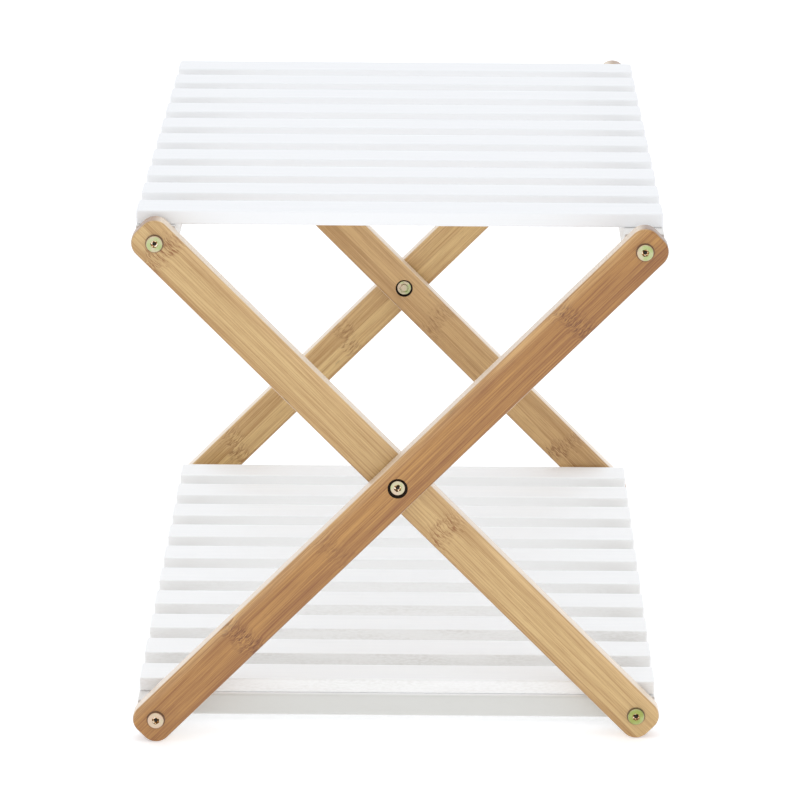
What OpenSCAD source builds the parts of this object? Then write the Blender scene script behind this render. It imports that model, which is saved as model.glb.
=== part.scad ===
// Slatted entryway bench with a lower shelf, on crossed legs.
//
// Two X frames stand at the front and the rear. Each has an outer leg, from top right to
// bottom left, and an inner leg, from top left to bottom right, bolted where they cross.
// Four rails run front to back on the corner bolts and carry the seat and shelf slats.
//
// Axes: X is left to right, Y is front to rear, Z is up.
// Origin: on the floor, at the middle of the bench.

/* [Overall] */
// Length over the outer faces of the front and rear outer legs
bench_length = 740; // [560:1:1000]
// Distance between the left and right corner bolts
pivot_span = 365; // [300:1:460]
// Height between the lower and upper corner bolts
pivot_rise = 365; // [280:1:460]

/* [Legs] */
// Width of a leg batten, across the X
leg_width = 32; // [26:0.5:40]
// Thickness of a leg batten, front to rear
leg_thickness = 18; // [15:0.5:24]
// Radius of the corners at a leg's two ends
leg_corner_r = 12; // [4:0.5:12.5]
// Radius of a leg's long edges
leg_edge_r = 2; // [0.5:0.25:4]
// Space between the crossing legs, filled by the spacer washer
leg_gap = 1; // [0.5:0.25:3]

/* [Rails and stretchers] */
// Width of a rail
rail_width = 30; // [24:0.5:40]
// Height of a rail
rail_height = 20.5; // [18:0.5:32]
// Radius of a rail's long edges
rail_edge_r = 1.5; // [0.5:0.25:3]
// Height of a shelf stretcher, down from the underside of the slats
stretcher_height = 18; // [14:0.5:22]
// Depth of a shelf stretcher, front to rear
stretcher_depth = 20; // [18:0.5:26]
// How far a stretcher stands out past the end slat
stretcher_proud = 2; // [0:0.25:2.5]
// Radius of a stretcher's long edges
stretcher_edge_r = 2; // [0.5:0.25:3]

/* [Slats] */
// Slats in the seat, and in the shelf
slat_count = 10; // [8:1:12]
// Width of a slat
slat_width = 40; // [30:0.5:46]
// Thickness of a slat
slat_thickness = 11; // [10:0.5:16]
// Radius of a slat's long edges
slat_edge_r = 1.5; // [0.5:0.25:3]
// Space between an inner leg and the end slat
slat_setback = 3; // [3:0.5:20]

/* [Corner bolts] */
// Diameter of the bolt shank
bolt_d = 6; // [5:0.5:7]
// Diameter of the bolt head
bolt_head_d = 12.4; // [11:0.2:14]
// Height of the bolt head
bolt_head_h = 3; // [2.6:0.1:4]
// Radius of the head's rim
bolt_rim_r = 0.8; // [0.3:0.1:1.2]
// Hexagon socket, across the flats
bolt_socket_af = 5; // [4:0.5:6]
// Depth of the hexagon socket
bolt_socket_depth = 2; // [1.5:0.1:2.4]
// Outside diameter of the threaded insert in a rail's end
insert_d = 10; // [9:0.5:12]
// Length of the threaded insert
insert_length = 15; // [12:0.5:18]

/* [Pivot] */
// Diameter of the pivot bolt's head
pivot_head_d = 11.6; // [10:0.2:13]
// Diameter of the counterbores in the two legs
pivot_counterbore_d = 15.2; // [14:0.2:17]
// How far the pivot bolt's head lies below the outer leg's face
pivot_head_sink = 1.4; // [0.5:0.1:2.5]
// Diameter of the pivot nut's head
nut_head_d = 12.6; // [11:0.2:13.4]
// Height of the pivot nut's head
nut_head_h = 3; // [2.6:0.1:4]
// How far the pivot nut's head lies below the inner leg's face
nut_head_sink = 2.2; // [1:0.1:3]
// Outside diameter of the pivot nut's barrel
nut_barrel_d = 9; // [8:0.25:10]
// Length of the pivot nut's barrel
nut_barrel_length = 9; // [6:0.5:9]
// Hexagon socket in the pivot nut, across the flats
nut_socket_af = 8; // [7:0.25:9]
// Depth of the socket in the pivot nut
nut_socket_depth = 2; // [1:0.1:2.4]
// Diameter of the spacer washer between the legs
spacer_d = 18; // [14:0.5:24]

/* [Screws and dowels] */
// Diameter of a slat screw
screw_d = 4; // [3:0.5:4.5]
// Depth that a slat screw reaches into its slat
screw_bite = 8.5; // [5:0.5:9]
// Diameter of a slat screw's head
screw_head_d = 7.5; // [6.5:0.5:8]
// Height of a slat screw's head
screw_head_h = 2.4; // [2:0.1:3]
// Depth of the counterbore for the screw head, from the rail's underside
screw_counterbore = 5; // [4:0.5:6]
// Diameter of a stretcher dowel
dowel_d = 6; // [5:0.5:7]
// Length of a stretcher dowel inside the stretcher
dowel_in_stretcher = 20; // [14:1:30]
// Length of a stretcher dowel inside the rail
dowel_in_rail = 8; // [6:0.5:8.5]
// Distance between the two dowels at one end of a stretcher
dowel_spacing = 9; // [8:0.5:10]

/* [Clearances] */
// Radial clearance of a bolt in its hole through a leg
bolt_clear = 0.2; // [0.1:0.05:0.5]
// Radial clearance between a bolt's thread and its nut or insert
thread_clear = 0.05; // [0.02:0.01:0.1]
// Radial clearance of a pressed or glued piece in its hole
press_clear = 0.02; // [0.01:0.01:0.05]
// Radial clearance of a screw's head in its counterbore
head_clear = 0.75; // [0.5:0.05:1]

/* [Hidden] */
$fn = 64;
bamboo = "#c39a66";
white_paint = "#f1f2f2";
yellow_zinc = "#c8c39c";
plain_zinc = "#b9bcbe";
pale_nylon = "#e6e4dc";
beech = "#d9c09a";

// A cut runs this far past the face that it opens through
overcut = 1;

// Places across and up: the corner bolts, the feet and the seat
pivot_x = pivot_span / 2;
leg_angle = atan2(pivot_rise, pivot_span);
leg_length = norm([pivot_span, pivot_rise]) + leg_width;
// The corner of a leg's end that reaches the floor is an arc about this point, along and
// across the leg from the corner bolt
foot_arc = leg_width / 2 - leg_corner_r;
foot_drop = foot_arc * (sin(leg_angle) + cos(leg_angle)) + leg_corner_r;
shelf_pivot_z = foot_drop;
seat_pivot_z = shelf_pivot_z + pivot_rise;
cross_z = shelf_pivot_z + pivot_rise / 2;

// Places front to rear, as distances in from the front outer face
outer_leg_back = leg_thickness;
inner_leg_face = leg_thickness + leg_gap;
inner_leg_back = inner_leg_face + leg_thickness;
front_y = -bench_length / 2;
outer_rail_length = bench_length - 2 * outer_leg_back;
inner_rail_length = bench_length - 2 * inner_leg_back;

// Slats: their ends are flush with the rails' outer sides
slat_length = pivot_span + rail_width;
slat_first_y = front_y + inner_leg_back + slat_setback + slat_width / 2;
slat_pitch = -2 * slat_first_y / (slat_count - 1);
slat_drop = rail_height / 2;

// Stretchers lie between the shelf rails, under the end slats
stretcher_length = pivot_span - rail_width;
stretcher_y = slat_first_y - slat_width / 2 - stretcher_proud + stretcher_depth / 2;
stretcher_z = shelf_pivot_z + slat_drop - stretcher_height / 2;

// Bolts
bolt_hole_d = bolt_d + 2 * bolt_clear;
thread_hole_d = bolt_d + 2 * thread_clear;
insert_hole_d = insert_d + 2 * press_clear;
corner_bolt_length = leg_thickness + insert_length - 1;
pivot_counterbore = bolt_head_h + pivot_head_sink;
nut_counterbore = nut_head_h + nut_head_sink;
pivot_bolt_length = inner_leg_back - pivot_counterbore - nut_head_sink;
barrel_hole_d = nut_barrel_d + 2 * bolt_clear;

// Slat screws go in from the rail's underside
screw_counterbore_d = screw_head_d + 2 * head_clear;
screw_hole_d = screw_d + 2 * bolt_clear;
screw_pilot_d = screw_d + 2 * thread_clear;
screw_tip = 4;
screw_length = rail_height - screw_counterbore + screw_bite;
screw_slot = [0.9, 4.6, 1.3];
dowel_hole_d = dowel_d + 2 * press_clear;

// A flat rectangle with round corners, centred on the origin
module rounded_rectangle(width, height, radius) {
    square([width - 2 * radius, height], center = true);
    square([width, height - 2 * radius], center = true);
    for (sx = [-1, 1], sy = [-1, 1])
        translate([sx * (width / 2 - radius), sy * (height / 2 - radius)])
            circle(r = radius);
}

// A bar along X with round long edges, centred on the origin
module bar_x(length, depth, height, radius) {
    rotate([90, 0, 90])
        linear_extrude(height = length, center = true)
            rounded_rectangle(depth, height, radius);
}

// The same bar along Y
module bar_y(length, width, height, radius) {
    rotate([90, 0, 0])
        linear_extrude(height = length, center = true)
            rounded_rectangle(width, height, radius);
}

// A cylinder along +Y that starts at the origin
module rod_y(diameter, length) {
    rotate([-90, 0, 0])
        cylinder(d = diameter, h = length);
}

// The front and the rear are mirror images of each other
module front_and_rear() {
    children();
    mirror([0, 1, 0])
        children();
}

// A leg batten along X with its outer face at Y = 0, centred on the pivot
module leg_blank() {
    intersection() {
        translate([0, leg_thickness / 2, 0])
            bar_x(leg_length, leg_thickness, leg_width, leg_edge_r);
        rotate([-90, 0, 0])
            linear_extrude(height = leg_thickness)
                rounded_rectangle(leg_length, leg_width, leg_corner_r);
    }
}

// The holes that every leg has: one for the bolt at each end
module leg_end_holes() {
    for (side = [-1, 1])
        translate([side * (leg_length - leg_width) / 2, -overcut, 0])
            rod_y(bolt_hole_d, leg_thickness + 2 * overcut);
}

// Outer leg at the front, from bottom left to top right
module outer_leg() {
    color(bamboo)
        translate([0, front_y, cross_z])
            rotate([0, -leg_angle, 0])
                difference() {
                    leg_blank();
                    leg_end_holes();
                    translate([0, -overcut, 0])
                        rod_y(bolt_hole_d, leg_thickness + 2 * overcut);
                    translate([0, -overcut, 0])
                        rod_y(pivot_counterbore_d, pivot_counterbore + overcut);
                }
}

// Inner leg at the front, from top left to bottom right
module inner_leg() {
    color(bamboo)
        translate([0, front_y + inner_leg_face, cross_z])
            rotate([0, leg_angle, 0])
                difference() {
                    leg_blank();
                    leg_end_holes();
                    translate([0, -overcut, 0])
                        rod_y(barrel_hole_d, leg_thickness + 2 * overcut);
                    translate([0, leg_thickness - nut_counterbore, 0])
                        rod_y(pivot_counterbore_d, nut_counterbore + overcut);
                }
}

module outer_leg_front() {
    outer_leg();
}

module outer_leg_rear() {
    mirror([0, 1, 0])
        outer_leg();
}

module inner_leg_front() {
    inner_leg();
}

module inner_leg_rear() {
    mirror([0, 1, 0])
        inner_leg();
}

// A rail on the corner bolt line at x and z, with holes for its inserts and slat screws
module rail(length, x, z) {
    color(white_paint)
        difference() {
            translate([x, 0, z])
                bar_y(length, rail_width, rail_height, rail_edge_r);
            front_and_rear()
                translate([x, -length / 2 - overcut, z])
                    rod_y(insert_hole_d, insert_length + overcut);
            for (i = [1:slat_count])
                translate([x, slat_y(i), z - slat_drop - overcut]) {
                    cylinder(d = screw_counterbore_d, h = screw_counterbore + overcut);
                    cylinder(d = screw_hole_d, h = rail_height + 2 * overcut);
                }
        }
}

module seat_rail_right() {
    rail(outer_rail_length, pivot_x, seat_pivot_z);
}

module seat_rail_left() {
    rail(inner_rail_length, -pivot_x, seat_pivot_z);
}

// The shelf rails also take the stretchers' dowels in their inner sides
module shelf_rail_left() {
    difference() {
        rail(outer_rail_length, -pivot_x, shelf_pivot_z);
        stretcher_dowel_holes();
    }
}

module shelf_rail_right() {
    difference() {
        rail(inner_rail_length, pivot_x, shelf_pivot_z);
        stretcher_dowel_holes();
    }
}

// Places that the dowels take, front and rear, both ends of each stretcher
module at_stretcher_dowels() {
    front_and_rear()
        for (side = [-1, 1], dy = [-1, 1])
            translate([side * stretcher_length / 2, stretcher_y + dy * dowel_spacing / 2, stretcher_z])
                rotate([0, side * 90, 0])
                    children();
}

module stretcher_dowel_holes() {
    at_stretcher_dowels()
        translate([0, 0, -dowel_in_stretcher])
            cylinder(d = dowel_hole_d, h = dowel_in_stretcher + dowel_in_rail);
}

// Stretcher under the front slat of the shelf
module stretcher() {
    color(white_paint)
        difference() {
            translate([0, stretcher_y, stretcher_z])
                bar_x(stretcher_length, stretcher_depth, stretcher_height, stretcher_edge_r);
            stretcher_dowel_holes();
        }
}

module stretcher_front() {
    stretcher();
}

module stretcher_rear() {
    mirror([0, 1, 0])
        stretcher();
}

// Middle of slat i, counted from the front
function slat_y(i) = slat_first_y + (i - 1) * slat_pitch;

// A slat on the rails whose bolt line is at z, with pilot holes for its two screws
module slat(i, z) {
    color(white_paint)
        difference() {
            translate([0, slat_y(i), z + slat_drop + slat_thickness / 2])
                bar_x(slat_length, slat_width, slat_thickness, slat_edge_r);
            for (side = [-1, 1])
                translate([side * pivot_x, slat_y(i), z + slat_drop - overcut])
                    cylinder(d = screw_pilot_d, h = screw_bite + overcut);
        }
}

// Half the outline of a bolt head, with a round rim
module bolt_head_outline(diameter) {
    square([diameter / 2, bolt_head_h - bolt_rim_r]);
    square([diameter / 2 - bolt_rim_r, bolt_head_h]);
    translate([diameter / 2 - bolt_rim_r, bolt_head_h - bolt_rim_r])
        circle(r = bolt_rim_r);
}

// A bolt head on the plane Y = 0 that stands out towards -Y, with a hexagon socket
module bolt_head(diameter) {
    rotate([90, 0, 0])
        difference() {
            rotate_extrude()
                bolt_head_outline(diameter);
            translate([0, 0, bolt_head_h - bolt_socket_depth])
                cylinder(d = bolt_socket_af / cos(30), h = bolt_socket_depth + overcut, $fn = 6);
        }
}

// A socket-head bolt along +Y with the underside of its head at Y = 0
module socket_bolt(head_diameter, length) {
    bolt_head(head_diameter);
    rod_y(bolt_d, length);
}

// The corner bolts' places: outer legs at top right and bottom left, inner legs opposite
module at_corners(outer_depth, inner_depth) {
    front_and_rear() {
        translate([pivot_x, front_y + outer_depth, seat_pivot_z])
            children();
        translate([-pivot_x, front_y + outer_depth, shelf_pivot_z])
            children();
        translate([-pivot_x, front_y + inner_depth, seat_pivot_z])
            children();
        translate([pivot_x, front_y + inner_depth, shelf_pivot_z])
            children();
    }
}

module corner_bolts() {
    color(yellow_zinc)
        at_corners(0, inner_leg_face)
            socket_bolt(bolt_head_d, corner_bolt_length);
}

// Threaded inserts in the rails' ends
module rail_inserts() {
    color(plain_zinc)
        at_corners(outer_leg_back, inner_leg_back)
            difference() {
                rod_y(insert_d, insert_length);
                translate([0, -overcut, 0])
                    rod_y(thread_hole_d, insert_length + 2 * overcut);
            }
}

module pivot_bolts() {
    color(yellow_zinc)
        front_and_rear()
            translate([0, front_y + pivot_counterbore, cross_z])
                socket_bolt(pivot_head_d, pivot_bolt_length);
}

// Sleeve nut: its barrel turns in the inner leg, and its dished head shows the bolt's end
module pivot_nut() {
    difference() {
        union() {
            rod_y(nut_head_d, nut_head_h);
            translate([0, -nut_barrel_length, 0])
                rod_y(nut_barrel_d, nut_barrel_length);
        }
        translate([0, -nut_barrel_length - overcut, 0])
            rod_y(thread_hole_d, nut_barrel_length + nut_head_h + 2 * overcut);
        translate([0, nut_head_h - nut_socket_depth, 0])
            rotate([-90, 0, 0])
                cylinder(d = nut_socket_af / cos(30), h = nut_socket_depth + overcut, $fn = 6);
    }
}

module pivot_nuts() {
    color(yellow_zinc)
        front_and_rear()
            translate([0, front_y + inner_leg_back - nut_counterbore, cross_z])
                pivot_nut();
}

// Nylon washers between the crossing legs
module pivot_spacers() {
    color(pale_nylon)
        front_and_rear()
            translate([0, front_y + outer_leg_back, cross_z])
                difference() {
                    rod_y(spacer_d, leg_gap);
                    translate([0, -overcut, 0])
                        rod_y(bolt_hole_d, leg_gap + 2 * overcut);
                }
}

// A pan-head wood screw that points up, with the underside of its head at Z = 0
module slat_screw() {
    difference() {
        union() {
            translate([0, 0, -screw_head_h])
                cylinder(d = screw_head_d, h = screw_head_h);
            cylinder(d = screw_d, h = screw_length - screw_tip);
            translate([0, 0, screw_length - screw_tip])
                cylinder(d1 = screw_d, d2 = 0, h = screw_tip);
        }
        for (turn = [0, 90])
            rotate(turn)
                translate([0, 0, -screw_head_h])
                    cube([screw_slot.x, screw_slot.y, 2 * screw_slot.z], center = true);
    }
}

// The screws of the seat or the shelf, whose rails' bolt line is at z
module slat_screws(z) {
    color(plain_zinc)
        for (i = [1:slat_count], side = [-1, 1])
            translate([side * pivot_x, slat_y(i), z - slat_drop + screw_counterbore])
                slat_screw();
}

module seat_slat_screws() {
    slat_screws(seat_pivot_z);
}

module shelf_slat_screws() {
    slat_screws(shelf_pivot_z);
}

module stretcher_dowels() {
    color(beech)
        at_stretcher_dowels()
            translate([0, 0, -dowel_in_stretcher])
                cylinder(d = dowel_d, h = dowel_in_stretcher + dowel_in_rail);
}

outer_leg_front();
outer_leg_rear();
inner_leg_front();
inner_leg_rear();
seat_rail_right();
seat_rail_left();
shelf_rail_left();
shelf_rail_right();
stretcher_front();
stretcher_rear();
for (i = [1:slat_count])
    slat(i, seat_pivot_z);
for (i = [1:slat_count])
    slat(i, shelf_pivot_z);
corner_bolts();
rail_inserts();
pivot_bolts();
pivot_nuts();
pivot_spacers();
seat_slat_screws();
shelf_slat_screws();
stretcher_dowels();
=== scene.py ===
# %% [markdown]
# # A slatted entryway bench on crossed bamboo legs
#
# The bench is two crossed pairs of bamboo battens, four painted rails that run from one pair
# to the other, and two decks of painted slats screwed down onto the rails. Its sizes and
# places come from the CAD model, which loads as a fixed frame. The wooden parts and the
# bolts are modelled again here, because their soft edges, sockets and counterbores decide
# how they catch the light. The hardware inside the joints keeps its CAD shape.

# %% Load the frame
import math

import bpy
from mathutils import Matrix, Vector


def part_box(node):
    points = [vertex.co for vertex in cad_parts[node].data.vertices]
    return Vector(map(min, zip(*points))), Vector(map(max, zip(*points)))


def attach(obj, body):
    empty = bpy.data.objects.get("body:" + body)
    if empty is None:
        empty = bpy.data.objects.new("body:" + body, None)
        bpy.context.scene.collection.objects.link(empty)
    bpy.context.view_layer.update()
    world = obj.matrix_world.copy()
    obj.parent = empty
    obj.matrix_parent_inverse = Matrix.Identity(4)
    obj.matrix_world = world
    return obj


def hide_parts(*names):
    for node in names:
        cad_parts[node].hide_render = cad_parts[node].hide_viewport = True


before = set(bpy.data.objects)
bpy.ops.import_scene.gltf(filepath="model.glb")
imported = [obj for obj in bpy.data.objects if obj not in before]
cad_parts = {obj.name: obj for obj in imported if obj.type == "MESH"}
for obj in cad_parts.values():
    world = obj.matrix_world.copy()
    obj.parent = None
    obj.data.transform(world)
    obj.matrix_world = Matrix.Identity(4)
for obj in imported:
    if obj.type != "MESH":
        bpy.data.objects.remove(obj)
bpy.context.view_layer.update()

MM = 0.001

# %% [markdown]
# ## Camera
#
# A product like this is shot from far away with a long lens, so that its upright lines stay
# nearly parallel. A Blender camera looks along its own -Z, so it is first stood upright and
# tipped down, then turned about the vertical. It also has a slight roll of a third of a
# degree, as on a tripod that isn't quite level.

# %% Camera
CAMERA_PLACE = Vector((0.0244, -3.9858, 1.1452))
CAMERA_DOWN = 0.23781
CAMERA_TURN = 0.00637
CAMERA_ROLL = 0.00591

bpy.ops.object.camera_add()
camera = bpy.context.object
camera.name = "camera"
camera.matrix_world = (
    Matrix.Translation(CAMERA_PLACE)
    @ Matrix.Rotation(CAMERA_TURN, 4, "Z")
    @ Matrix.Rotation(math.pi / 2 - CAMERA_DOWN, 4, "X")
    @ Matrix.Rotation(CAMERA_ROLL, 4, "Z")
)
camera.data.sensor_width = 36
camera.data.lens = 224.2
camera.data.clip_end = 60
bpy.context.scene.camera = camera
print("camera looks down by", round(math.degrees(CAMERA_DOWN), 1), "degrees")

# %% [markdown]
# ## Colour and node helpers
#
# Colours are picked as sRGB hex values, the way a screen shows them, and shaders work in
# linear light, so one function turns the first into the second. A second function adds a
# node: it takes the node's settings, and for each input either a value or the output that
# feeds it. A third starts a material with its shader and the object's own coordinates.

# %% Colour and node helpers
def linear(hex_colour):
    """A linear RGBA colour from sRGB hex digits such as c39a66."""
    channels = [int(hex_colour[i : i + 2], 16) / 255 for i in (0, 2, 4)]
    return (*[c / 12.92 if c <= 0.04045 else ((c + 0.055) / 1.055) ** 2.4 for c in channels], 1)


def add(tree, kind, inputs=None, **settings):
    """Adds a node with its settings. An input is given a value, or a socket that feeds it."""
    node = tree.nodes.new(kind)
    for name, value in settings.items():
        setattr(node, name, value)
    for key, value in (inputs or {}).items():
        if isinstance(value, bpy.types.NodeSocket):
            tree.links.new(value, node.inputs[key])
        else:
            node.inputs[key].default_value = value
    return node


def start_material(name, **surface):
    """A material with these values on its shader. Returns it, its tree, shader and coordinates."""
    material = bpy.data.materials.new(name)
    material.use_nodes = True
    tree = material.node_tree
    shader = tree.nodes["Principled BSDF"]
    for key, value in surface.items():
        shader.inputs[key.replace("_", " ")].default_value = value
    place = add(tree, "ShaderNodeTexCoord").outputs["Object"]
    return material, tree, shader, place


# %% [markdown]
# ## Floor, light and colours on screen
#
# The set is a photographer's white table: a sheet of opal acrylic that is lit a little from
# below, so that it stays white under the bench and keeps only a faint shadow. A white room
# all round gives almost all of the light. A weak softbox overhead makes the tops a little
# lighter, and a second one beside the camera does the same for the bolt heads and the legs.
# The Standard view transform shows white as white.

# %% Floor, light and colours on screen
scene = bpy.context.scene
scene.view_settings.view_transform = "Standard"

ROOM_LIGHT = 0.97
TABLE_GLOW = 0.33
SOFTBOX_WATTS = 5
FRONT_WATTS = 3

room = bpy.data.worlds.new("white room")
room.use_nodes = True
room.node_tree.nodes["Background"].inputs["Color"].default_value = linear("fcfdff")
room.node_tree.nodes["Background"].inputs["Strength"].default_value = ROOM_LIGHT
scene.world = room

acrylic, tree, shader, place = start_material(
    "opal_acrylic", Roughness=0.6, Emission_Strength=TABLE_GLOW
)
shader.inputs["Emission Color"].default_value = (1, 1, 1, 1)
mottle = add(tree, "ShaderNodeTexNoise", {"Vector": place, "Scale": 3, "Detail": 2}).outputs["Fac"]
tone = add(
    tree, "ShaderNodeMix", {0: mottle, 6: linear("f0f1f2"), 7: linear("f5f5f6")}, data_type="RGBA"
).outputs[2]
tree.links.new(tone, shader.inputs["Base Color"])

bpy.ops.mesh.primitive_plane_add(size=16, location=(0, 0, 0))
floor = bpy.context.object
floor.name = "white_table"
floor.data.materials.append(acrylic)

bpy.ops.object.light_add(type="AREA", location=(-0.3, -0.2, 2.4))
softbox = bpy.context.object
softbox.data.size = 2.2
softbox.data.energy = SOFTBOX_WATTS

FRONT_PLACE = Vector((-0.2, -3.7, 1.3))
bpy.ops.object.light_add(type="AREA", location=FRONT_PLACE)
front_light = bpy.context.object
front_light.data.size = 2.5
front_light.data.energy = FRONT_WATTS
front_light.rotation_euler = FRONT_PLACE.to_track_quat("Z", "Y").to_euler()
print("lights:", SOFTBOX_WATTS, "W above and", FRONT_WATTS, "W in front")

# %% [markdown]
# ## Bamboo: places on a leg
#
# The legs are laminated bamboo: strips of split culm, planed, glued side by side and in
# layers, then sanded and given a clear satin lacquer. Every leg is its own batten. A Mapping
# node lays its pattern along the leg in millimetres: first output along the leg, second
# through its thickness, third across its width. The last two tell which strip and which layer
# a point is in, and a White Noise node turns that into a chance number for the strip.

# %% Bamboo: places on a leg
LEG_WIDTH = 32
STRIP_WIDTH = 14
LAYER_THICKNESS = 6

rail_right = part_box("seat_rail_right")
shelf_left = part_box("shelf_rail_left")
top_bolt = (rail_right[0] + rail_right[1]) / 2
foot_bolt = (shelf_left[0] + shelf_left[1]) / 2
crossing = (top_bolt + foot_bolt) / 2
leg_tilt = math.atan2(top_bolt.z - foot_bolt.z, top_bolt.x - foot_bolt.x)
bolt_spacing = (top_bolt - foot_bolt).xz.length
leg_length = bolt_spacing + LEG_WIDTH * MM
print("the legs cross", round(crossing.z / MM, 1), "mm up, tilt", round(math.degrees(leg_tilt), 1))


def place_on_leg(tree, place, centre, tilt, seed):
    """Where a point is on a leg tilted about Y, with its outer face at centre, as sockets."""
    leg = add(
        tree,
        "ShaderNodeMapping",
        {"Vector": place, "Location": centre, "Rotation": (0, tilt, 0), "Scale": (MM, MM, MM)},
        vector_type="TEXTURE",
    ).outputs[0]
    along, deep, across = add(tree, "ShaderNodeSeparateXYZ", {0: leg}).outputs
    strip_place = add(
        tree,
        "ShaderNodeMath",
        {0: across, 1: 1 / STRIP_WIDTH, 2: 0.37 + 0.21 * seed},
        operation="MULTIPLY_ADD",
    ).outputs[0]
    strip = add(tree, "ShaderNodeMath", {0: strip_place}, operation="FLOOR").outputs[0]
    layer_place = add(
        tree, "ShaderNodeMath", {0: deep, 1: 1 / LAYER_THICKNESS}, operation="MULTIPLY"
    ).outputs[0]
    layer = add(tree, "ShaderNodeMath", {0: layer_place}, operation="FLOOR").outputs[0]
    strip_key = add(tree, "ShaderNodeCombineXYZ", {0: strip, 1: layer, 2: seed}).outputs[0]
    chance = add(tree, "ShaderNodeTexWhiteNoise", {"Vector": strip_key}).outputs["Value"]
    ragged = add(
        tree, "ShaderNodeTexNoise", {"Vector": leg, "Scale": 0.22, "Detail": 2}
    ).outputs["Fac"]
    return {
        "along": along,
        "deep": deep,
        "across": across,
        "strip_place": strip_place,
        "chance": chance,
        "ragged": ragged,
    }


def flat_place(tree, along, across):
    """A flat place on the leg's wide face: along it and across it."""
    return add(tree, "ShaderNodeCombineXYZ", {0: along, 1: across}).outputs[0]


# %% [markdown]
# ## Bamboo: knuckles
#
# A culm has a knuckle every hand's breadth or two, and each strip carries its piece of it.
# In a laminated batten that shows as a band across the leg, a little out of line from strip
# to strip and ragged at its edges. Here the distance along the leg is shifted by the strip's
# chance number and by noise before it is compared with the knuckle's place.

# %% Bamboo: knuckles
STRIP_SLIP = 9
RAGGED_SLIP = 16
BAND_CORE = 2
BAND_REACH = 12


def knuckle_band(tree, leg, knuckles):
    """A socket that rises to each knuckle's strength inside its band, and is 0 outside."""
    slip = add(
        tree,
        "ShaderNodeMath",
        {0: leg["chance"], 1: STRIP_SLIP, 2: leg["along"]},
        operation="MULTIPLY_ADD",
    ).outputs[0]
    slip = add(
        tree,
        "ShaderNodeMath",
        {0: leg["ragged"], 1: RAGGED_SLIP, 2: slip},
        operation="MULTIPLY_ADD",
    ).outputs[0]
    mean_slip = (STRIP_SLIP + RAGGED_SLIP) / 2
    band = None
    for place, strength in knuckles:
        away = add(
            tree, "ShaderNodeMath", {0: slip, 1: place + mean_slip}, operation="SUBTRACT"
        ).outputs[0]
        away = add(tree, "ShaderNodeMath", {0: away}, operation="ABSOLUTE").outputs[0]
        near = add(
            tree,
            "ShaderNodeMapRange",
            {"Value": away, 1: BAND_CORE, 2: BAND_REACH, 3: strength, 4: 0},
            interpolation_type="SMOOTHSTEP",
        ).outputs[0]
        if band is None:
            band = near
        else:
            band = add(tree, "ShaderNodeMath", {0: band, 1: near}, operation="MAXIMUM").outputs[0]
    return band


# %% [markdown]
# ## Bamboo: fibres
#
# The eye sees long fine fibres, a small step of tone from strip to strip, and short dark
# dashes where bundles of vessels lie. Three noise patterns make them, each stretched along
# the leg: streaks about 8 mm wide, fibres about 1 mm and vessel bundles about half that.
# Round a knuckle the fibres bend a little, and every strip starts at its own place along them.

# %% Bamboo: fibres
GRAIN_SCALES = {"streaks": (0.004, 0.14), "fibres": (0.012, 0.95), "vessels": (0.045, 1.9)}
BEND = 3
STRIP_START = 700


def grain_place(tree, leg, band):
    """Coordinates that follow the fibres of each strip."""
    bend = add(
        tree, "ShaderNodeMath", {0: leg["ragged"], 1: band}, operation="MULTIPLY"
    ).outputs[0]
    across_bent = add(
        tree, "ShaderNodeMath", {0: bend, 1: BEND, 2: leg["across"]}, operation="MULTIPLY_ADD"
    ).outputs[0]
    along_strip = add(
        tree,
        "ShaderNodeMath",
        {0: leg["chance"], 1: STRIP_START, 2: leg["along"]},
        operation="MULTIPLY_ADD",
    ).outputs[0]
    return add(
        tree, "ShaderNodeCombineXYZ", {0: along_strip, 1: leg["deep"], 2: across_bent}
    ).outputs[0]


def grain_patterns(tree, grain):
    """The three noise patterns, stretched along the fibres."""
    patterns = {}
    for kind, (lengthwise, crosswise) in GRAIN_SCALES.items():
        stretched = add(
            tree,
            "ShaderNodeMapping",
            {"Vector": grain, "Scale": (lengthwise, crosswise, crosswise)},
        ).outputs[0]
        patterns[kind] = add(
            tree,
            "ShaderNodeTexNoise",
            {"Vector": stretched, "Scale": 1, "Detail": 4, "Roughness": 0.68},
        ).outputs["Fac"]
    return patterns


def fibre_colour(tree, leg, patterns, dark, light, vessel):
    """From dark to light with the streaks, the fibres and the strip, and then the dashes."""
    tone = add(
        tree,
        "ShaderNodeMath",
        {0: patterns["streaks"], 1: 0.6, 2: patterns["fibres"]},
        operation="MULTIPLY_ADD",
    ).outputs[0]
    tone = add(
        tree, "ShaderNodeMath", {0: leg["chance"], 1: 0.22, 2: tone}, operation="MULTIPLY_ADD"
    ).outputs[0]
    tone = add(tree, "ShaderNodeMapRange", {"Value": tone, 1: 0.70, 2: 1.12}).outputs[0]
    colour = add(
        tree, "ShaderNodeMix", {0: tone, 6: dark, 7: light}, data_type="RGBA"
    ).outputs[2]
    dashes = add(
        tree,
        "ShaderNodeMapRange",
        {"Value": patterns["vessels"], 1: 0.54, 2: 0.70, 3: 0, 4: 0.55},
        interpolation_type="SMOOTHSTEP",
    ).outputs[0]
    return add(
        tree, "ShaderNodeMix", {0: dashes, 6: colour, 7: vessel}, data_type="RGBA"
    ).outputs[2]


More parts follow.
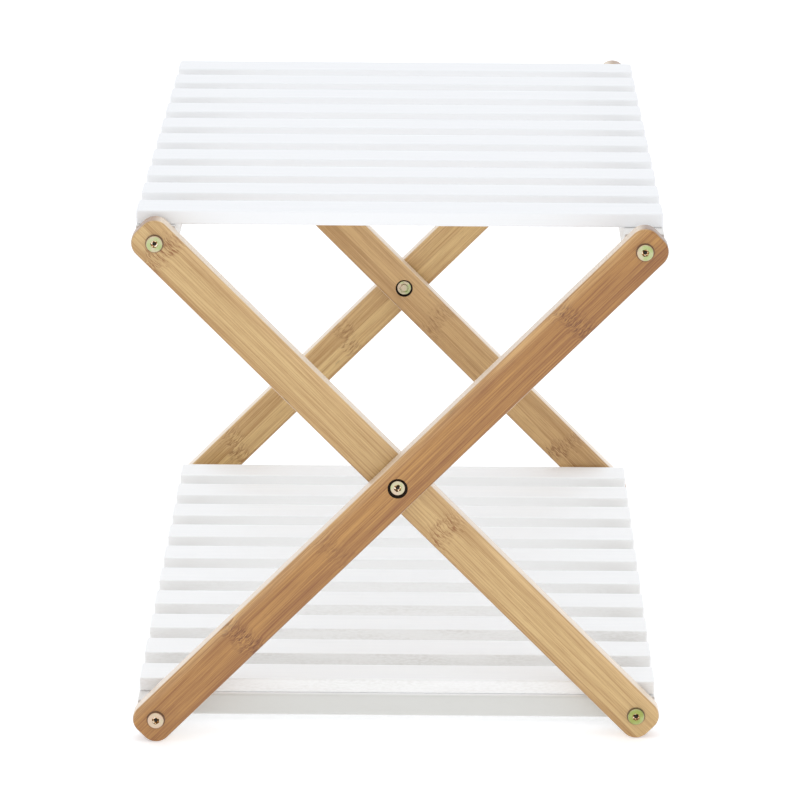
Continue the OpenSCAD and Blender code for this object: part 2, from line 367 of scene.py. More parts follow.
def knuckle_colour(tree, colour, grain, band, light, vessel, knuckle):
    """A darker band at each knuckle, with light and dark strokes in it."""
    band_tone = add(tree, "ShaderNodeMath", {0: band, 1: 0.28}, operation="MULTIPLY").outputs[0]
    colour = add(
        tree, "ShaderNodeMix", {0: band_tone, 6: colour, 7: vessel}, data_type="RGBA"
    ).outputs[2]
    stroke_place = add(
        tree, "ShaderNodeMapping", {"Vector": grain, "Scale": (0.15, 1.1, 1.1)}
    ).outputs[0]
    strokes = add(
        tree,
        "ShaderNodeTexNoise",
        {"Vector": stroke_place, "Scale": 1, "Detail": 2, "Distortion": 0.15},
    ).outputs["Fac"]
    for start, full, strength, stroke_colour in (
        (0.46, 0.38, 0.7, light),
        (0.51, 0.60, 1.0, knuckle),
    ):
        mark = add(
            tree,
            "ShaderNodeMapRange",
            {"Value": strokes, 1: start, 2: full, 3: 0, 4: strength},
            interpolation_type="SMOOTHSTEP",
        ).outputs[0]
        mark = add(tree, "ShaderNodeMath", {0: mark, 1: band}, operation="MULTIPLY").outputs[0]
        colour = add(
            tree, "ShaderNodeMix", {0: mark, 6: colour, 7: stroke_colour}, data_type="RGBA"
        ).outputs[2]
    return colour


# %% [markdown]
# ## Bamboo: stains, edges and ends
#
# What sets one leg apart from the next is at its rim. Small dark stains lie near the edges.
# A hair-thin glue line runs between the strips. Dark fibres along the lower edge are painted
# shade, and pale ones along the upper edge a painted highlight. The narrow sides get a pale
# painted sheen, and at the ends the grain drinks lacquer and darkens. A painted contact shadow
# rings each corner bolt's head.

# %% Bamboo: stains, edges and ends
BOLT_HEAD = 12.4


def stained(tree, colour, leg, stains):
    """Small dark stains. Each has a place along and across the leg, and a half length."""
    for along, across, reach in stains:
        shifted = add(
            tree,
            "ShaderNodeMapping",
            {
                "Vector": flat_place(tree, leg["along"], leg["across"]),
                "Location": (along, across, 0),
                "Scale": (reach, reach / 5, 1),
            },
            vector_type="TEXTURE",
        ).outputs[0]
        far = add(tree, "ShaderNodeVectorMath", {0: shifted}, operation="LENGTH").outputs["Value"]
        stain = add(
            tree, "ShaderNodeMapRange", {"Value": far, 1: 0.3, 2: 1.0, 3: 0.75, 4: 0}
        ).outputs[0]
        stain = add(
            tree, "ShaderNodeMath", {0: stain, 1: leg["ragged"]}, operation="MULTIPLY"
        ).outputs[0]
        colour = add(
            tree, "ShaderNodeMix", {0: stain, 6: colour, 7: linear("4a3320")}, data_type="RGBA"
        ).outputs[2]
    return colour


def edged(tree, colour, leg, fibres, vessel, knuckle):
    """Glue lines between the strips, painted shade in dark fibres along the lower edge and a
    painted highlight in pale fibres along the upper one.
    """
    strip_part = add(
        tree, "ShaderNodeMath", {0: leg["strip_place"]}, operation="FRACT"
    ).outputs[0]
    glue = add(
        tree, "ShaderNodeMapRange", {"Value": strip_part, 1: 0, 2: 0.05, 3: 0.45, 4: 0}
    ).outputs[0]
    colour = add(
        tree, "ShaderNodeMix", {0: glue, 6: colour, 7: vessel}, data_type="RGBA"
    ).outputs[2]

    rim = LEG_WIDTH / 2
    # Painted shade: the lower edge is darkened towards the knuckle colour
    lower_edge_shade = add(
        tree, "ShaderNodeMapRange", {"Value": leg["across"], 1: -rim, 2: 2 - rim, 3: 0.6, 4: 0}
    ).outputs[0]
    colour = add(
        tree, "ShaderNodeMix", {0: lower_edge_shade, 6: colour, 7: knuckle}, data_type="RGBA"
    ).outputs[2]
    # Painted highlight: pale fibres along the upper edge
    upper_edge_highlight = add(
        tree, "ShaderNodeMapRange", {"Value": leg["across"], 1: rim - 8, 2: rim - 1, 3: 0, 4: 0.6}
    ).outputs[0]
    highlight_fibres = add(
        tree, "ShaderNodeMapRange", {"Value": fibres, 1: 0.45, 2: 0.6, 3: 0.4, 4: 1}
    ).outputs[0]
    upper_edge_highlight = add(
        tree, "ShaderNodeMath", {0: upper_edge_highlight, 1: highlight_fibres}, operation="MULTIPLY"
    ).outputs[0]
    return add(
        tree, "ShaderNodeMix", {0: upper_edge_highlight, 6: colour, 7: linear("dcb884")}, data_type="RGBA"
    ).outputs[2]


def with_sides_and_ends(tree, colour, leg, knuckle):
    """A painted sheen on the narrow sides, dark end grain and a painted contact shadow round each
    corner bolt's head.
    """
    facing = add(tree, "ShaderNodeTexCoord").outputs["Normal"]
    facing = add(tree, "ShaderNodeSeparateXYZ", {0: facing}).outputs["Y"]
    facing = add(tree, "ShaderNodeMath", {0: facing}, operation="ABSOLUTE").outputs[0]
    # Painted sheen: the narrow sides are mixed towards a pale cream
    narrow = add(
        tree, "ShaderNodeMapRange", {"Value": facing, 1: 0.75, 2: 0.35, 3: 0, 4: 1}
    ).outputs[0]
    side_sheen = add(tree, "ShaderNodeMath", {0: narrow, 1: 0.7}, operation="MULTIPLY").outputs[0]
    colour = add(
        tree, "ShaderNodeMix", {0: side_sheen, 6: colour, 7: linear("efe1cf")}, data_type="RGBA"
    ).outputs[2]

    outward = add(tree, "ShaderNodeMath", {0: leg["along"]}, operation="ABSOLUTE").outputs[0]
    leg_end = leg_length / MM / 2
    end_grain = add(
        tree,
        "ShaderNodeMapRange",
        {"Value": outward, 1: leg_end - 8, 2: leg_end - 3, 3: 0, 4: 0.8},
    ).outputs[0]
    end_grain = add(
        tree, "ShaderNodeMath", {0: end_grain, 1: narrow}, operation="MULTIPLY"
    ).outputs[0]
    colour = add(
        tree, "ShaderNodeMix", {0: end_grain, 6: colour, 7: knuckle}, data_type="RGBA"
    ).outputs[2]

    past_bolt = add(
        tree, "ShaderNodeMath", {0: outward, 1: bolt_spacing / MM / 2}, operation="SUBTRACT"
    ).outputs[0]
    from_bolt = add(
        tree,
        "ShaderNodeVectorMath",
        {0: flat_place(tree, past_bolt, leg["across"])},
        operation="LENGTH",
    ).outputs["Value"]
    # Painted contact shadow: a dark ring just outside each corner bolt's head
    head_shadow = add(
        tree,
        "ShaderNodeMapRange",
        {"Value": from_bolt, 1: BOLT_HEAD / 2 + 0.3, 2: BOLT_HEAD / 2 + 1.1, 3: 0.8, 4: 0},
    ).outputs[0]
    return add(
        tree, "ShaderNodeMix", {0: head_shadow, 6: colour, 7: linear("3b2917")}, data_type="RGBA"
    ).outputs[2]


# %% [markdown]
# ## Bamboo: the four legs
#
# The material is the fibres, then the knuckles, stains, edges and ends on top of one another.
# The lacquer is a clear coat over them that follows the fibres, so it is never quite flat.
# The outer front leg is a darker, redder batten than the inner one. The two at the rear are
# given paler shades, partly real and partly painted light that makes up for the shade they
# stand in behind the front legs and under the decks. The knuckles and stains are where each
# batten happens to have them.

# %% Bamboo: the four legs
def bamboo(name, centre, tilt, shades, knuckles, stains, seed):
    """Lacquered bamboo for a leg that is tilted about Y and has its outer face at centre."""
    dark, light, vessel, knuckle = [linear(shade) for shade in shades]
    material, tree, shader, place = start_material(
        name, IOR=1.5, Coat_Weight=0.5, Coat_Roughness=0.18, Coat_IOR=1.5
    )
    leg = place_on_leg(tree, place, centre, tilt, seed)
    band = knuckle_band(tree, leg, knuckles)
    grain = grain_place(tree, leg, band)
    patterns = grain_patterns(tree, grain)
    fibres = patterns["fibres"]
    colour = fibre_colour(tree, leg, patterns, dark, light, vessel)
    colour = knuckle_colour(tree, colour, grain, band, light, vessel, knuckle)
    colour = stained(tree, colour, leg, stains)
    colour = edged(tree, colour, leg, fibres, vessel, knuckle)
    colour = with_sides_and_ends(tree, colour, leg, knuckle)
    tree.links.new(colour, shader.inputs["Base Color"])

    gloss = add(
        tree, "ShaderNodeMapRange", {"Value": fibres, 1: 0.3, 2: 0.7, 3: 0.5, 4: 0.38}
    ).outputs[0]
    tree.links.new(gloss, shader.inputs["Roughness"])
    relief = add(
        tree, "ShaderNodeMath", {0: fibres, 1: patterns["vessels"]}, operation="ADD"
    ).outputs[0]
    bump = add(
        tree, "ShaderNodeBump", {"Height": relief, "Strength": 0.5, "Distance": 0.06 * MM}
    ).outputs[0]
    tree.links.new(bump, shader.inputs["Normal"])
    return material


# name: node, side the leg runs to (-1 up to the right, +1 down to the right), shades from
# dark to light, vessels, knuckle strokes, knuckles (place along, strength), stains and seed
honey = ("9d6f37", "d1b078", "91622c", "8f5c2a")
amber = ("7e4517", "bd8b46", "764116", "6f3d13")
# The rear shades straw and wheat are paler, partly as painted light against the shade at the rear
straw = ("ab8049", "d7b57a", "9a713d", "8c5f2f")
wheat = ("a07440", "caa36c", "906735", "85562b")
LEGS = {
    "outer_leg_front": (-1, amber, [(185, 0.9), (-66, 0.35), (-164, 1.0)], [(71, 14, 9)], 1),
    "inner_leg_front": (1, honey, [(-246, 1.0), (55, 0.9)], [(-104, -15, 5), (76, -15, 3)], 2),
    "outer_leg_rear": (-1, straw, [(-71, 0.7), (-212, 0.9), (150, 0.6)], [(-93, -9, 4)], 3),
    "inner_leg_rear": (1, wheat, [(43, 0.6), (-170, 0.5), (205, 0.8)], [(20, 12, 3)], 4),
}
bamboo_of = {}
for leg_name, (side, shades, knuckles, stains, seed) in LEGS.items():
    leg_low, leg_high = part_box(leg_name)
    outer_face = leg_low.y if leg_name.endswith("front") else leg_high.y
    bamboo_of[leg_name] = bamboo(
        leg_name.replace("leg", "bamboo"),
        (crossing.x, outer_face, crossing.z),
        side * leg_tilt,
        shades,
        knuckles,
        stains,
        seed,
    )
print("bamboo materials:", len(bamboo_of))

# %% [markdown]
# ## Painted shade in the bolt holes
#
# A counterbore is cut with a flat-bottomed bit. Its wall and floor, like the walls of the bolt
# holes, are painted dark brown as painted shade, matt and streaked round the bore, and with the
# shade inside the recess they read as a black ring round the bolt.

# %% Painted shade in the bolt holes
# Painted shade: near-black brown for the walls and floors of holes and counterbores
recess_shade, tree, shader, place = start_material("painted_recess_shade", Roughness=0.75)
recess_mottle = add(
    tree, "ShaderNodeTexNoise", {"Vector": place, "Scale": 900, "Detail": 3}
).outputs["Fac"]
recess_colour = add(
    tree,
    "ShaderNodeMix",
    {0: recess_mottle, 6: linear("2a1c10"), 7: linear("4e3820")},
    data_type="RGBA",
).outputs[2]
tree.links.new(recess_colour, shader.inputs["Base Color"])

# %% [markdown]
# ## White paint
#
# The slats, rails and stretchers are wood with a sprayed satin paint, a slightly cool white.
# Paint fills the pores but not quite: the grain still shows as faint long ripples, and there
# is a fine orange-peel from the spray gun. The narrow faces that look to the front and the rear
# are painted a little greyer as painted shade, and on the shelf they have specks where shoes have
# rubbed. The stretchers' faces are painted light grey as painted shade, with white left on their
# rounded edges as a painted highlight. The shelf paint is lighter than the seat's as painted
# light, and the rails' paint greyer as painted shade under the seat. The grain runs along a slat
# or along a rail, so the function takes the scale of the pattern on each axis.

# %% White paint
WEAR_FRONT = -290
WEAR_REAR = 20


def scuffs(tree, ruler, narrow, wear):
    """Specks in patches on the narrow faces, fewer towards the rear and on the first slat."""
    depth = add(tree, "ShaderNodeSeparateXYZ", {0: ruler}).outputs["Y"]
    worn = add(
        tree,
        "ShaderNodeMapRange",
        {"Value": depth, 1: WEAR_FRONT, 2: WEAR_REAR, 3: wear, 4: 0.1 * wear},
    ).outputs[0]
    first_slat = add(
        tree,
        "ShaderNodeMapRange",
        {"Value": depth, 1: WEAR_FRONT - 5, 2: WEAR_FRONT, 3: 0.6, 4: 1},
    ).outputs[0]
    patch_place = add(
        tree, "ShaderNodeMapping", {"Vector": ruler, "Scale": (0.02, 0.02, 0.12)}
    ).outputs[0]
    patches = add(
        tree, "ShaderNodeTexNoise", {"Vector": patch_place, "Scale": 1, "Detail": 1}
    ).outputs["Fac"]
    patches = add(
        tree, "ShaderNodeMapRange", {"Value": patches, 1: 0.3, 2: 0.7, 3: 0.2, 4: 1}
    ).outputs[0]
    speck_place = add(
        tree, "ShaderNodeMapping", {"Vector": ruler, "Scale": (0.25, 0.8, 0.8)}
    ).outputs[0]
    specks = add(
        tree, "ShaderNodeTexNoise", {"Vector": speck_place, "Scale": 1, "Detail": 3}
    ).outputs["Fac"]
    specks = add(
        tree, "ShaderNodeMapRange", {"Value": specks, 1: 0.4, 2: 0.65, 3: 0.25, 4: 1}
    ).outputs[0]
    for mask in (first_slat, narrow, patches, specks):
        worn = add(tree, "ShaderNodeMath", {0: worn, 1: mask}, operation="MULTIPLY").outputs[0]
    return worn


def white_paint(name, grain_scale, body, shade, edge, wear=0.0):
    """Satin white paint over wood. grain_scale is how fast the grain changes on each axis."""
    material, tree, shader, place = start_material(name, IOR=1.5)
    ruler = add(
        tree, "ShaderNodeMapping", {"Vector": place, "Scale": (1 / MM, 1 / MM, 1 / MM)}
    ).outputs[0]
    grain_place = add(
        tree, "ShaderNodeMapping", {"Vector": ruler, "Scale": grain_scale}
    ).outputs[0]
    grain = add(
        tree,
        "ShaderNodeTexNoise",
        {"Vector": grain_place, "Scale": 1, "Detail": 4, "Roughness": 0.6},
    ).outputs["Fac"]
    peel = add(
        tree, "ShaderNodeTexNoise", {"Vector": ruler, "Scale": 0.9, "Detail": 1}
    ).outputs["Fac"]
    tint = add(
        tree, "ShaderNodeMapRange", {"Value": grain, 1: 0.35, 2: 0.7, 3: 0, 4: 1}
    ).outputs[0]
    colour = add(
        tree,
        "ShaderNodeMix",
        {0: tint, 6: linear(body), 7: linear(shade)},
        data_type="RGBA",
    ).outputs[2]

    # Painted shade: the narrow faces that look to the front and the rear take the greyer edge
    # colour
    facing = add(tree, "ShaderNodeTexCoord").outputs["Normal"]
    facing = add(tree, "ShaderNodeSeparateXYZ", {0: facing}).outputs["Y"]
    facing = add(tree, "ShaderNodeMath", {0: facing}, operation="ABSOLUTE").outputs[0]
    narrow = add(tree, "ShaderNodeMapRange", {"Value": facing, 1: 0.4, 2: 0.9}).outputs[0]
    colour = add(
        tree, "ShaderNodeMix", {0: narrow, 6: colour, 7: linear(edge)}, data_type="RGBA"
    ).outputs[2]

    specks = scuffs(tree, ruler, narrow, wear)
    colour = add(
        tree, "ShaderNodeMix", {0: specks, 6: colour, 7: linear("b3ada0")}, data_type="RGBA"
    ).outputs[2]
    tree.links.new(colour, shader.inputs["Base Color"])

    satin = add(
        tree, "ShaderNodeMapRange", {"Value": peel, 1: 0.3, 2: 0.7, 3: 0.4, 4: 0.52}
    ).outputs[0]
    tree.links.new(satin, shader.inputs["Roughness"])
    relief = add(
        tree, "ShaderNodeMath", {0: peel, 1: 0.4, 2: grain}, operation="MULTIPLY_ADD"
    ).outputs[0]
    bump = add(
        tree, "ShaderNodeBump", {"Height": relief, "Strength": 0.5, "Distance": 0.08 * MM}
    ).outputs[0]
    tree.links.new(bump, shader.inputs["Normal"])
    return material


ALONG_X = (0.015, 0.55, 0.55)
ALONG_Y = (0.55, 0.015, 0.55)
# The shelf paint is lighter than the seat's, painted light against the seat's shade; each edge
# colour is painted shade
seat_paint = white_paint("white_paint_seat", ALONG_X, "f3f4f6", "eff1f3", "eff0f1")
shelf_paint = white_paint("white_paint_shelf", ALONG_X, "fcfdfd", "f9fafb", "f4f4f3", 0.3)
# The rails' paint is greyer, with darker ends, as painted shade under the seat
rail_paint = white_paint("white_paint_rails", ALONG_Y, "e8e6e3", "e4e2df", "c2bab3")
# The stretchers' grey edge colour is painted shade on their faces, and the white body on their
# rounded edges a painted highlight
stretcher_paint = white_paint(
    "white_paint_stretchers", ALONG_X, "fafafa", "f6f6f6", "d5d5d1", 0.1
)
print("white paints: seat, shelf, rails and stretchers")

# %% [markdown]
# ## Yellow zinc
#
# The bolts and sleeve nuts are turned steel, zinc plated and passivated. The passivation is a
# film so thin that it shows colours: straw, pale green and a faint pink in soft patches that
# differ from bolt to bolt. It is a metal, so its colour goes on the base and its IOR stays.

# %% Yellow zinc
yellow_zinc, tree, shader, place = start_material("yellow_zinc", Metallic=1.0)
patches = add(
    tree, "ShaderNodeTexNoise", {"Vector": place, "Scale": 130, "Detail": 1}
).outputs["Fac"]
film = add(tree, "ShaderNodeAttribute", attribute_name="film").outputs["Fac"]
film = add(
    tree, "ShaderNodeMath", {0: patches, 1: 0.9, 2: film}, operation="MULTIPLY_ADD"
).outputs[0]
colour = add(tree, "ShaderNodeValToRGB", {"Fac": film})
stops = colour.color_ramp.elements
stops[0].position = 0.25
stops[0].color = linear("d2baa3")
stops[1].position = 0.95
stops[1].color = linear("9aa35c")
stops.new(0.50).color = linear("c9bfa2")
stops.new(0.65).color = linear("b2be88")
tree.links.new(colour.outputs["Color"], shader.inputs["Base Color"])
fine = add(
    tree, "ShaderNodeTexNoise", {"Vector": place, "Scale": 2500, "Detail": 2}
).outputs["Fac"]
matt = add(tree, "ShaderNodeMapRange", {"Value": fine, 3: 0.2, 4: 0.42}).outputs[0]
tree.links.new(matt, shader.inputs["Roughness"])

# The walls of a socket are smooth from the punch, and are painted with white and orange glints
# as painted highlights between dark patches of painted shade. The drilled point is painted
# near-black as painted shade.
socket_glint_shade, tree, shader, place = start_material("socket_painted_glints", Metallic=1.0, Roughness=0.12)
glint_mottle = add(
    tree, "ShaderNodeTexNoise", {"Vector": place, "Scale": 520, "Detail": 1}
).outputs["Fac"]
walls = add(tree, "ShaderNodeValToRGB", {"Fac": glint_mottle})
stops = walls.color_ramp.elements
stops[0].position = 0.40
stops[0].color = linear("2c1e10")
stops[1].position = 0.62
stops[1].color = linear("fff6e4")
stops.new(0.48).color = linear("a8743c")
stops.new(0.55).color = linear("e3c39a")
tree.links.new(walls.outputs["Color"], shader.inputs["Base Color"])

# Painted shade: the drilled point at the bottom of a socket is near-black
drill_point_shade, tree, shader, place = start_material("drill_point_painted_shade", Metallic=0.4, Roughness=0.35)
point_mottle = add(tree, "ShaderNodeTexNoise", {"Vector": place, "Scale": 1200}).outputs["Fac"]
dark = add(
    tree, "ShaderNodeMix", {0: point_mottle, 6: linear("17110b"), 7: linear("3a2c1c")}, data_type="RGBA"
).outputs[2]
tree.links.new(dark, shader.inputs["Base Color"])

# %% [markdown]
# ## Finishes inside the joints
#
# Plain zinc on the inserts and slat screws is bluish grey with a fine spangle. The spacer
# washers are natural nylon, milky and slightly waxy, so a little light gets under their
# surface. The dowels are beech, pale pink-brown with short dark rays along the grain.

# %% Finishes inside the joints
plain_zinc, tree, shader, place = start_material("plain_zinc", Metallic=1.0)
spangle = add(
    tree, "ShaderNodeTexVoronoi", {"Vector": place, "Scale": 900}
).outputs["Color"]
steel = add(
    tree,
    "ShaderNodeMix",
    {0: spangle, 6: linear("a9adb1"), 7: linear("c6c9cc")},
    data_type="RGBA",
).outputs[2]
tree.links.new(steel, shader.inputs["Base Color"])
shader.inputs["Roughness"].default_value = 0.35

nylon, tree, shader, place = start_material(
    "nylon", IOR=1.53, Subsurface_Weight=0.2, Subsurface_Scale=2 * MM
)
cloud = add(tree, "ShaderNodeTexNoise", {"Vector": place, "Scale": 300}).outputs["Fac"]
milk = add(
    tree,
    "ShaderNodeMix",
    {0: cloud, 6: linear("dedbd0"), 7: linear("ebe9e2")},
    data_type="RGBA",
).outputs[2]
tree.links.new(milk, shader.inputs["Base Color"])

beech, tree, shader, place = start_material("beech", IOR=1.5, Roughness=0.6)
rays = add(
    tree, "ShaderNodeMapping", {"Vector": place, "Scale": (150, 1200, 1200)}
).outputs[0]
ray = add(tree, "ShaderNodeTexNoise", {"Vector": rays, "Scale": 1, "Detail": 3}).outputs["Fac"]
wood = add(
    tree,
    "ShaderNodeMix",
    {0: ray, 6: linear("c79f74"), 7: linear("dfc29c")},
    data_type="RGBA",
).outputs[2]
tree.links.new(wood, shader.inputs["Base Color"])

INSIDE = {
    "rail_inserts": plain_zinc,
    "seat_slat_screws": plain_zinc,
    "shelf_slat_screws": plain_zinc,
    "pivot_spacers": nylon,
    "stretcher_dowels": beech,
}
for node_name, finish in INSIDE.items():
    node_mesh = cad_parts[node_name].data
    node_mesh.materials.clear()
    node_mesh.materials.append(finish)
print("CAD nodes that keep their shape:", len(INSIDE))

# %% [markdown]
# ## Modelling helpers
#
# Everything on the bench starts as a box or a cylinder of the right size, and is then shaped
# with the same few operators: bevel some edges, inset or extrude a face, cut a hole. An
# operator acts on what is selected, so each helper first clears the selection and then picks
# edges or faces by where they are.

# %% Modelling helpers
def deselect():
    """Nothing selected, and no object in edit mode."""
    if bpy.context.object and bpy.context.object.mode != "OBJECT":
        bpy.ops.object.mode_set(mode="OBJECT")
    bpy.ops.object.select_all(action="DESELECT")


def make_active(piece):
    """Only this piece is selected, and operators act on it."""
    deselect()
    piece.select_set(True)
    bpy.context.view_layer.objects.active = piece


def settle():
    """Puts the active object's place, turn and scale into its mesh."""
    bpy.ops.object.transform_apply(location=True, rotation=True, scale=True)


def block(name, low, high):
    """A box from its lowest to its highest corner."""
    deselect()
    bpy.ops.mesh.primitive_cube_add(size=1, location=(low + high) / 2)
    piece = bpy.context.object
    piece.name = name
    piece.scale = high - low
    settle()
    return piece


def rod(name, diameter, start, end, sides=48):
    """A cylinder along Y, from one distance to another, about the Y axis."""
    deselect()
    bpy.ops.mesh.primitive_cylinder_add(
        vertices=sides,
        radius=diameter / 2,
        depth=end - start,
        location=(0, (start + end) / 2, 0),
        rotation=(math.pi / 2, 0, 0),
    )
    piece = bpy.context.object
    piece.name = name
    settle()
    return piece


def select_edges(piece, wanted):
    """Enters edit mode with the edges selected whose two ends, taken together, are wanted."""
    make_active(piece)
    bpy.ops.object.mode_set(mode="EDIT")
    bpy.ops.mesh.select_mode(type="EDGE")
    bpy.ops.mesh.select_all(action="DESELECT")
    bpy.ops.object.mode_set(mode="OBJECT")
    places = [vertex.co.copy() for vertex in piece.data.vertices]
    for edge in piece.data.edges:
        edge.select = wanted(places[edge.vertices[0]], places[edge.vertices[1]])
    bpy.ops.object.mode_set(mode="EDIT")


def round_edges(piece, wanted, radius, segments):
    """Rounds the wanted edges."""
    select_edges(piece, wanted)
    bpy.ops.mesh.bevel(offset=radius, segments=segments, profile=0.5, affect="EDGES")
    bpy.ops.object.mode_set(mode="OBJECT")


def cut(piece, cutter):
    """Cuts the cutter's shape out of the piece. The cut faces take the cutter's material."""
    make_active(piece)
    bpy.ops.object.modifier_add(type="BOOLEAN")
    boolean = piece.modifiers[-1]
    boolean.operation = "DIFFERENCE"
    boolean.solver = "EXACT"
    boolean.material_mode = "TRANSFER"
    boolean.object = cutter
    bpy.ops.object.modifier_apply(modifier=boolean.name)


def discard(*spare):
    """Removes cutters and templates that have done their work."""
    for piece in spare:
        bpy.data.objects.remove(piece)


def copy_of(piece, name, place, turns=(0, 0, 0)):
    """A copy with its own mesh, turned about X, Y and Z and then moved to its place."""
    make_active(piece)
    bpy.ops.object.duplicate(linked=False)
    copied = bpy.context.object
    copied.name = name
    copied.rotation_euler = turns
    copied.location = place
    settle()
    return copied


def even_shading(piece):
    """Smooth over the rounded edges, with the large faces kept flat."""
    make_active(piece)
    bpy.ops.object.shade_smooth_by_angle(angle=math.radians(35))
    bpy.ops.object.modifier_add(type="WEIGHTED_NORMAL")
    piece.modifiers[-1].keep_sharp = True
    bpy.ops.object.modifier_apply(modifier=piece.modifiers[-1].name)


def same(a, b):
    """True for two lengths less than a hundredth of a millimetre apart."""
    return abs(a - b) < 0.01 * MM


# %% [markdown]
# ## Legs
#
# Each leg is a batten of 32 by 18 mm. Its ends are rounded in outline on a spindle moulder
# and all of its edges are eased with a router. A bolt goes through near each end, and the
# hole at the crossing is counterbored: on an outer leg for the bolt's head, on an inner leg
# for the sleeve nut. Two templates are made flat, with the leg lying along X and its outer
# face on Y = 0, and each is copied to the front and, turned half round, to the rear.

# %% Legs
END_RADIUS = 12 * MM
EDGE_RADIUS = 2 * MM
BOLT_HOLE = 6.4 * MM
NUT_BORE = 9.4 * MM
COUNTERBORE = 15.2 * MM
HEAD_SEAT = 4.4 * MM
NUT_SEAT = 5.2 * MM
PAST = 1 * MM

front_low, front_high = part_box("outer_leg_front")
leg_thickness = front_high.y - front_low.y
leg_half_width = LEG_WIDTH * MM / 2


def leg_template(name, finish):
    """A flat leg with its edges rounded and a bolt hole near each end."""
    leg = block(
        name,
        Vector((-leg_length / 2, 0, -leg_half_width)),
        Vector((leg_length / 2, leg_thickness, leg_half_width)),
    )
    leg.data.materials.append(finish)
    round_edges(leg, lambda a, b: same(a.x, b.x) and same(a.z, b.z), END_RADIUS, 12)
    round_edges(
        leg,
        lambda a, b: same(a.y, b.y) and (same(a.y, 0) or same(a.y, leg_thickness)),
        EDGE_RADIUS,
        5,
    )
    drill = rod("drill", BOLT_HOLE, -PAST, leg_thickness + PAST)
    # The bolt holes' walls take the painted shade
    drill.data.materials.append(recess_shade)
    for side in (-1, 1):
        bit = copy_of(drill, "bit", Vector((side * bolt_spacing / 2, 0, 0)))
        cut(leg, bit)
        discard(bit)
    discard(drill)
    return leg


def bore(leg, diameter, start, end):
    """A round hole at the leg's middle, between two depths from its outer face."""
    bit = rod("bit", diameter, start, end, 64)
    # The bore's walls and floor take the painted shade
    bit.data.materials.append(recess_shade)
    cut(leg, bit)
    discard(bit)


outer_template = leg_template("outer_template", bamboo_of["outer_leg_front"])
bore(outer_template, COUNTERBORE, -PAST, HEAD_SEAT)
bore(outer_template, BOLT_HOLE, HEAD_SEAT - PAST, leg_thickness + PAST)

inner_template = leg_template("inner_template", bamboo_of["inner_leg_front"])
nut_seat = leg_thickness - NUT_SEAT
bore(inner_template, COUNTERBORE, nut_seat, leg_thickness + PAST)
bore(inner_template, NUT_BORE, -PAST, nut_seat + PAST)

legs = []
for leg_name, (side, *_) in LEGS.items():
    template = outer_template if leg_name.startswith("outer") else inner_template
    leg_low, leg_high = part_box(leg_name)
    at_front = leg_name.endswith("front")
    leg = copy_of(
        template,
        leg_name + "_batten",
        Vector((crossing.x, leg_low.y if at_front else leg_high.y, crossing.z)),
        (0, side * leg_tilt, 0) if at_front else (0, -side * leg_tilt, math.pi),
    )
    leg.data.materials[0] = bamboo_of[leg_name]
    even_shading(leg)
    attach(leg, "root")
    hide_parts(leg_name)
    legs.append(leg)
discard(outer_template, inner_template)
print("legs:", len(legs), "of", round(leg_length / MM, 1), "mm")

# %% [markdown]
# ## Slats
#
# The seat and the shelf have ten boards each. A board is planed to size, its edges are eased
# with sandpaper and it is painted on all sides. One is modelled, and copied to each CAD
# slat's middle. Four segments on a 1.5 mm edge are enough for a soft highlight.

# %% Slats
SLAT_EDGE = 1.5 * MM


def painted_bar(name, low, high, radius, finish):
    """A painted bar with all of its edges rounded."""
    bar = block(name, low, high)
    bar.data.materials.append(finish)
    round_edges(bar, lambda a, b: True, radius, 4)
    return bar


slat_low, slat_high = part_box("seat_slat_1")
half = (slat_high - slat_low) / 2
slat_template = painted_bar("slat_template", -half, half, SLAT_EDGE, seat_paint)
slat_names = [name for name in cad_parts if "_slat_" in name and "screws" not in name]
for node_name in sorted(slat_names):
    node_low, node_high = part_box(node_name)
    slat = copy_of(slat_template, node_name + "_board", (node_low + node_high) / 2)
    if node_name.startswith("shelf"):
        slat.data.materials[0] = shelf_paint
    even_shading(slat)
    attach(slat, "root")
    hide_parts(node_name)
discard(slat_template)
print("slats:", len(slat_names), "of", [round(2 * size / MM) for size in half], "mm")

# %% [markdown]
# ## Rails and stretchers
#
# The rails lie under the slats' ends, on the line of the corner bolts, and the slats are
# screwed to them from below, so each rail's underside has a row of ten counterbores with a
# screw head in each. One cutter with ten pegs, made by an Array modifier, drills them all.
# The stretchers tie the two shelf rails together under the end slats. Their edges are
# rounded more than the rails', and the upper front one shows as a soft light line, which the
# paint helps with a painted highlight.

# %% Rails and stretchers
SCREW_COUNTERBORE = 9 * MM
SCREW_DEPTH = 5 * MM
RAIL_EDGE = 1.5 * MM
STRETCHER_EDGE = 3 * MM

first_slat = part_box("shelf_slat_1")
second_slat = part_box("shelf_slat_2")
slat_pitch = second_slat[0].y - first_slat[0].y
first_y = (first_slat[0].y + first_slat[1].y) / 2
slats_per_deck = len(slat_names) // 2

